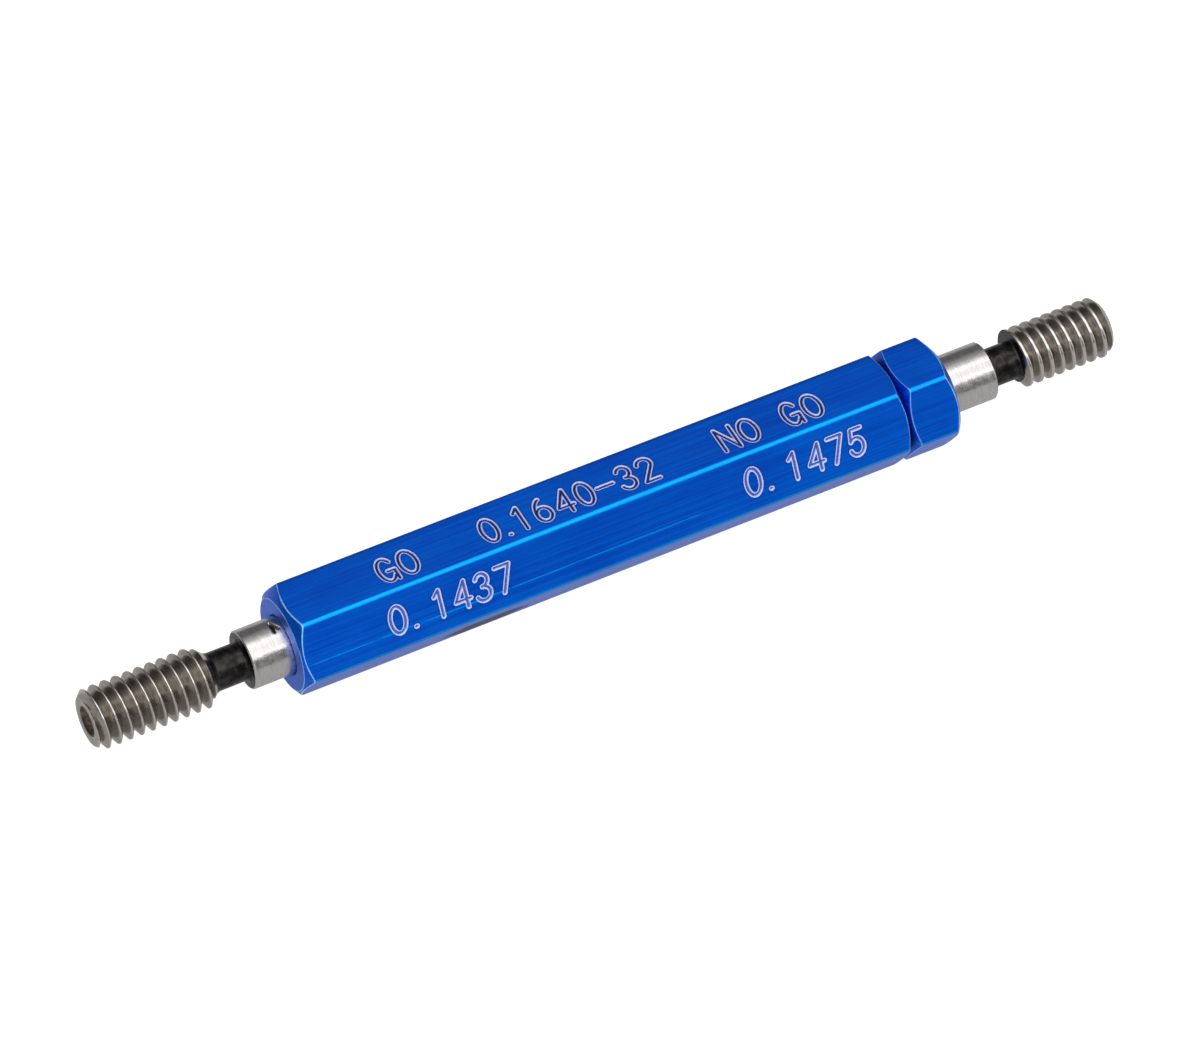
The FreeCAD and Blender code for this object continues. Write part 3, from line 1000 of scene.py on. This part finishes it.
def thread_steel():
    """Ground and lapped thread: marks run along the helix, and the crests are painted lighter,
    a painted highlight that leaves the grooves darker.
    """
    n = Nodes("thread_steel")
    along, across = n.attribute("along"), n.attribute("across")
    marks = n.noise(n.combine(n.math("MULTIPLY", along, 0.8), n.math("MULTIPLY", across, 45.0)),
                    detail=3.0, roughness=0.6)
    patches = n.noise(n.position((1.6, 1.6, 1.6)), detail=4.0, roughness=0.6)
    colour = n.mix(n.band(marks, 0.3, 0.7), (0.33, 0.305, 0.275), (0.50, 0.47, 0.43))
    colour = n.mix(n.band(patches, 0.45, 0.75, 0.0, 0.4), colour, (0.20, 0.165, 0.13))
    # Crests painted lighter than the flanks: painted highlight.
    crest = n.math("MULTIPLY", n.band(across, 0.43, 0.455),
                   n.band(across, 0.645, 0.67, 1.0, 0.0))
    colour = n.mix(crest, colour, n.mix(n.band(marks, 0.3, 0.7), (0.52, 0.49, 0.46),
                                        (0.70, 0.67, 0.63)))
    n.set(Base_Color=colour, Metallic=1.0)
    n.set(Roughness=n.band(patches, 0.3, 0.7, 0.16, 0.26))
    normal = n.bump(marks, 0.0025)
    n.set(Normal=n.bump(patches, 0.006, normal=normal))
    return n.material


def black_neck():
    """Turned neck left black from hardening."""
    n = Nodes("black_neck")
    rings = n.noise(n.position((7.0, 0.5, 0.5)), detail=3.0, roughness=0.6)
    scale = n.noise(n.position((2.0, 2.0, 2.0)), detail=4.0)
    colour = n.mix(n.band(scale, 0.35, 0.7), (0.013, 0.012, 0.013), (0.050, 0.044, 0.041))
    n.set(Base_Color=colour, Metallic=0.9)
    n.set(Roughness=n.band(scale, 0.3, 0.7, 0.2, 0.32))
    normal = n.bump(rings, 0.02)
    n.set(Normal=n.bump(scale, 0.02, normal=normal))
    return n.material


def stained_and_shaded_hole():
    """Centre hole, stained brown by hardening and handling, and darkened as painted shade in
    the hole.
    """
    n = Nodes("centre_hole")
    scale = n.noise(n.position((3.0, 3.0, 3.0)), detail=4.0)
    colour = n.mix(n.band(scale, 0.35, 0.7), (0.10, 0.075, 0.06), (0.24, 0.19, 0.15))
    n.set(Base_Color=colour, Metallic=1.0, Roughness=0.4)
    n.set(Normal=n.bump(scale, 0.012))
    return n.material


def floor_white(level):
    """Matt pale floor."""
    n = Nodes(f"floor_{int(level * 100)}")
    grain = n.noise(n.position((0.02, 0.02, 0.02)), detail=3.0)
    low, high = level - 0.01, level
    n.set(Base_Color=n.mix(grain, (low, low, low), (high, high, high)))
    n.set(Roughness=0.9, Specular_IOR_Level=0.1)
    return n


# ---------------------------------------------------------------- pieces

blue = anodised_blue()
member_materials = [thread_steel(), ground_steel(), black_neck(), stained_and_shaded_hole()]

handle_bar = build_handle([blue])
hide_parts("handle")
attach(handle_bar, "root")

go_gauge = build_member("go_gauge", GO, GO_TIP, -1, member_materials, GO_RUN_OUT, GO_LEAN)
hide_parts("go_member")
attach(go_gauge, "root")

no_go_gauge = build_member("no_go_gauge", NO_GO, NO_GO_TIP, 1, member_materials)
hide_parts("no_go_member")
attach(no_go_gauge, "root")


# ---------------------------------------------------------------- floor, light and camera

def floor_plane(name, material, height):
    mesh = bpy.data.meshes.new(name)
    reach = 1.5
    corners = [(-reach, -reach, height), (reach, -reach, height),
               (reach, reach, height), (-reach, reach, height)]
    mesh.from_pydata(corners, [], [(0, 1, 2, 3)])
    mesh.materials.append(material)
    made = bpy.data.objects.new(name, mesh)
    bpy.context.scene.collection.objects.link(made)
    return made


# The floor that the camera sees is bright, and the one seen in the metal is plain pale grey.
# Both lie just below the bottom flat, so that neither shares its plane.
FLOOR_HEIGHT = -0.00002
bright = floor_white(0.45)
bright.set(Emission_Color=(1.0, 1.0, 1.0, 1.0), Emission_Strength=0.9)
floor = floor_plane("floor", bright.material, FLOOR_HEIGHT)
floor.visible_glossy = False
floor.visible_shadow = False
mirror_floor = floor_plane("floor_in_reflections", floor_white(0.40).material, 2 * FLOOR_HEIGHT)
mirror_floor.visible_camera = False
mirror_floor.visible_diffuse = False
mirror_floor.visible_shadow = False

SOFTBOX_DISTANCE = 0.36
SOFTBOX_WIDTH = 0.55


def size_over(half_angle):
    """Size of a light that covers twice an angle in degrees, seen from the gauge."""
    return 2 * SOFTBOX_DISTANCE * math.tan(math.radians(half_angle))


def soft_light(name, outward, level, width, depth, radiance):
    """Rectangular light that faces the gauge from a direction, hidden from the camera."""
    light = bpy.data.lights.new(name, "AREA")
    light.shape = "RECTANGLE"
    light.size, light.size_y = width, depth
    light.energy = radiance * math.pi * width * depth
    lamp = bpy.data.objects.new(name, light)
    turn = Matrix((level, outward.cross(level), outward)).transposed().to_4x4()
    lamp.matrix_world = Matrix.Translation(outward * SOFTBOX_DISTANCE) @ turn
    lamp.visible_camera = False
    bpy.context.scene.collection.objects.link(lamp)


def softbox(name, low, high, radiance):
    """Long light that spans elevations low to high, seen from the gauge across its axis."""
    middle = math.radians((low + high) / 2)
    outward = Vector((0, -math.cos(middle), math.sin(middle)))
    depth = size_over((high - low) / 2)
    soft_light(name, outward, Vector((1, 0, 0)), SOFTBOX_WIDTH, depth, radiance)


def low_panel(name, azimuth, half_width, low, high, radiance):
    """Upright panel low in front, at an azimuth from -Y toward +X in degrees."""
    turned, middle = math.radians(azimuth), math.radians((low + high) / 2)
    outward = Vector((math.sin(turned) * math.cos(middle), -math.cos(turned) * math.cos(middle),
                      math.sin(middle)))
    level = Vector((math.cos(turned), math.sin(turned), 0))
    depth = size_over((high - low) / 2)
    soft_light(name, outward, level, size_over(half_width), depth, radiance)


softbox("softbox_middle", 55, 84, 1.45)
softbox("softbox_front", 41, 55, 1.95)
softbox("softbox_top", 84, 98, 1.95)
softbox("softbox_back_near", 98, 108, 1.0)
softbox("softbox_back", 108, 120, 0.44)
softbox("softbox_back_far", 120, 134, 0.22)
low_panel("low_panel_left", -18, 21, 3, 36, 0.95)
low_panel("low_panel_right", 50, 17, 3, 36, 0.95)

world = bpy.data.worlds.new("studio")
world.use_nodes = True
background = world.node_tree.nodes["Background"]
background.inputs["Color"].default_value = (0.15, 0.15, 0.155, 1.0)
background.inputs["Strength"].default_value = 1.0
bpy.context.scene.world = world
bpy.context.scene.view_settings.view_transform = "Standard"

CAMERA_PLACE = Vector((-190.35, -350.385, 463.45)) * MM
CAMERA_AZIMUTH, CAMERA_ELEVATION, CAMERA_ROLL = (math.radians(a) for a in (28.491, 49.1, 1.117))
FOCAL_LENGTH, SENSOR_WIDTH = 283.3, 36.0

forward = Vector((
    math.sin(CAMERA_AZIMUTH) * math.cos(CAMERA_ELEVATION),
    math.cos(CAMERA_AZIMUTH) * math.cos(CAMERA_ELEVATION),
    -math.sin(CAMERA_ELEVATION),
))
level_right = forward.cross(Vector((0, 0, 1))).normalized()
level_up = level_right.cross(forward)
right = level_right * math.cos(CAMERA_ROLL) + level_up * math.sin(CAMERA_ROLL)
up = -level_right * math.sin(CAMERA_ROLL) + level_up * math.cos(CAMERA_ROLL)
camera_data = bpy.data.cameras.new("camera")
camera_data.sensor_fit = "HORIZONTAL"
camera_data.sensor_width = SENSOR_WIDTH
camera_data.lens = FOCAL_LENGTH
camera_data.clip_start, camera_data.clip_end = 0.01, 10.0
camera = bpy.data.objects.new("camera", camera_data)
turn = Matrix((right, up, -forward)).transposed().to_4x4()
camera.matrix_world = Matrix.Translation(CAMERA_PLACE) @ turn
bpy.context.scene.collection.objects.link(camera)
bpy.context.scene.camera = camera
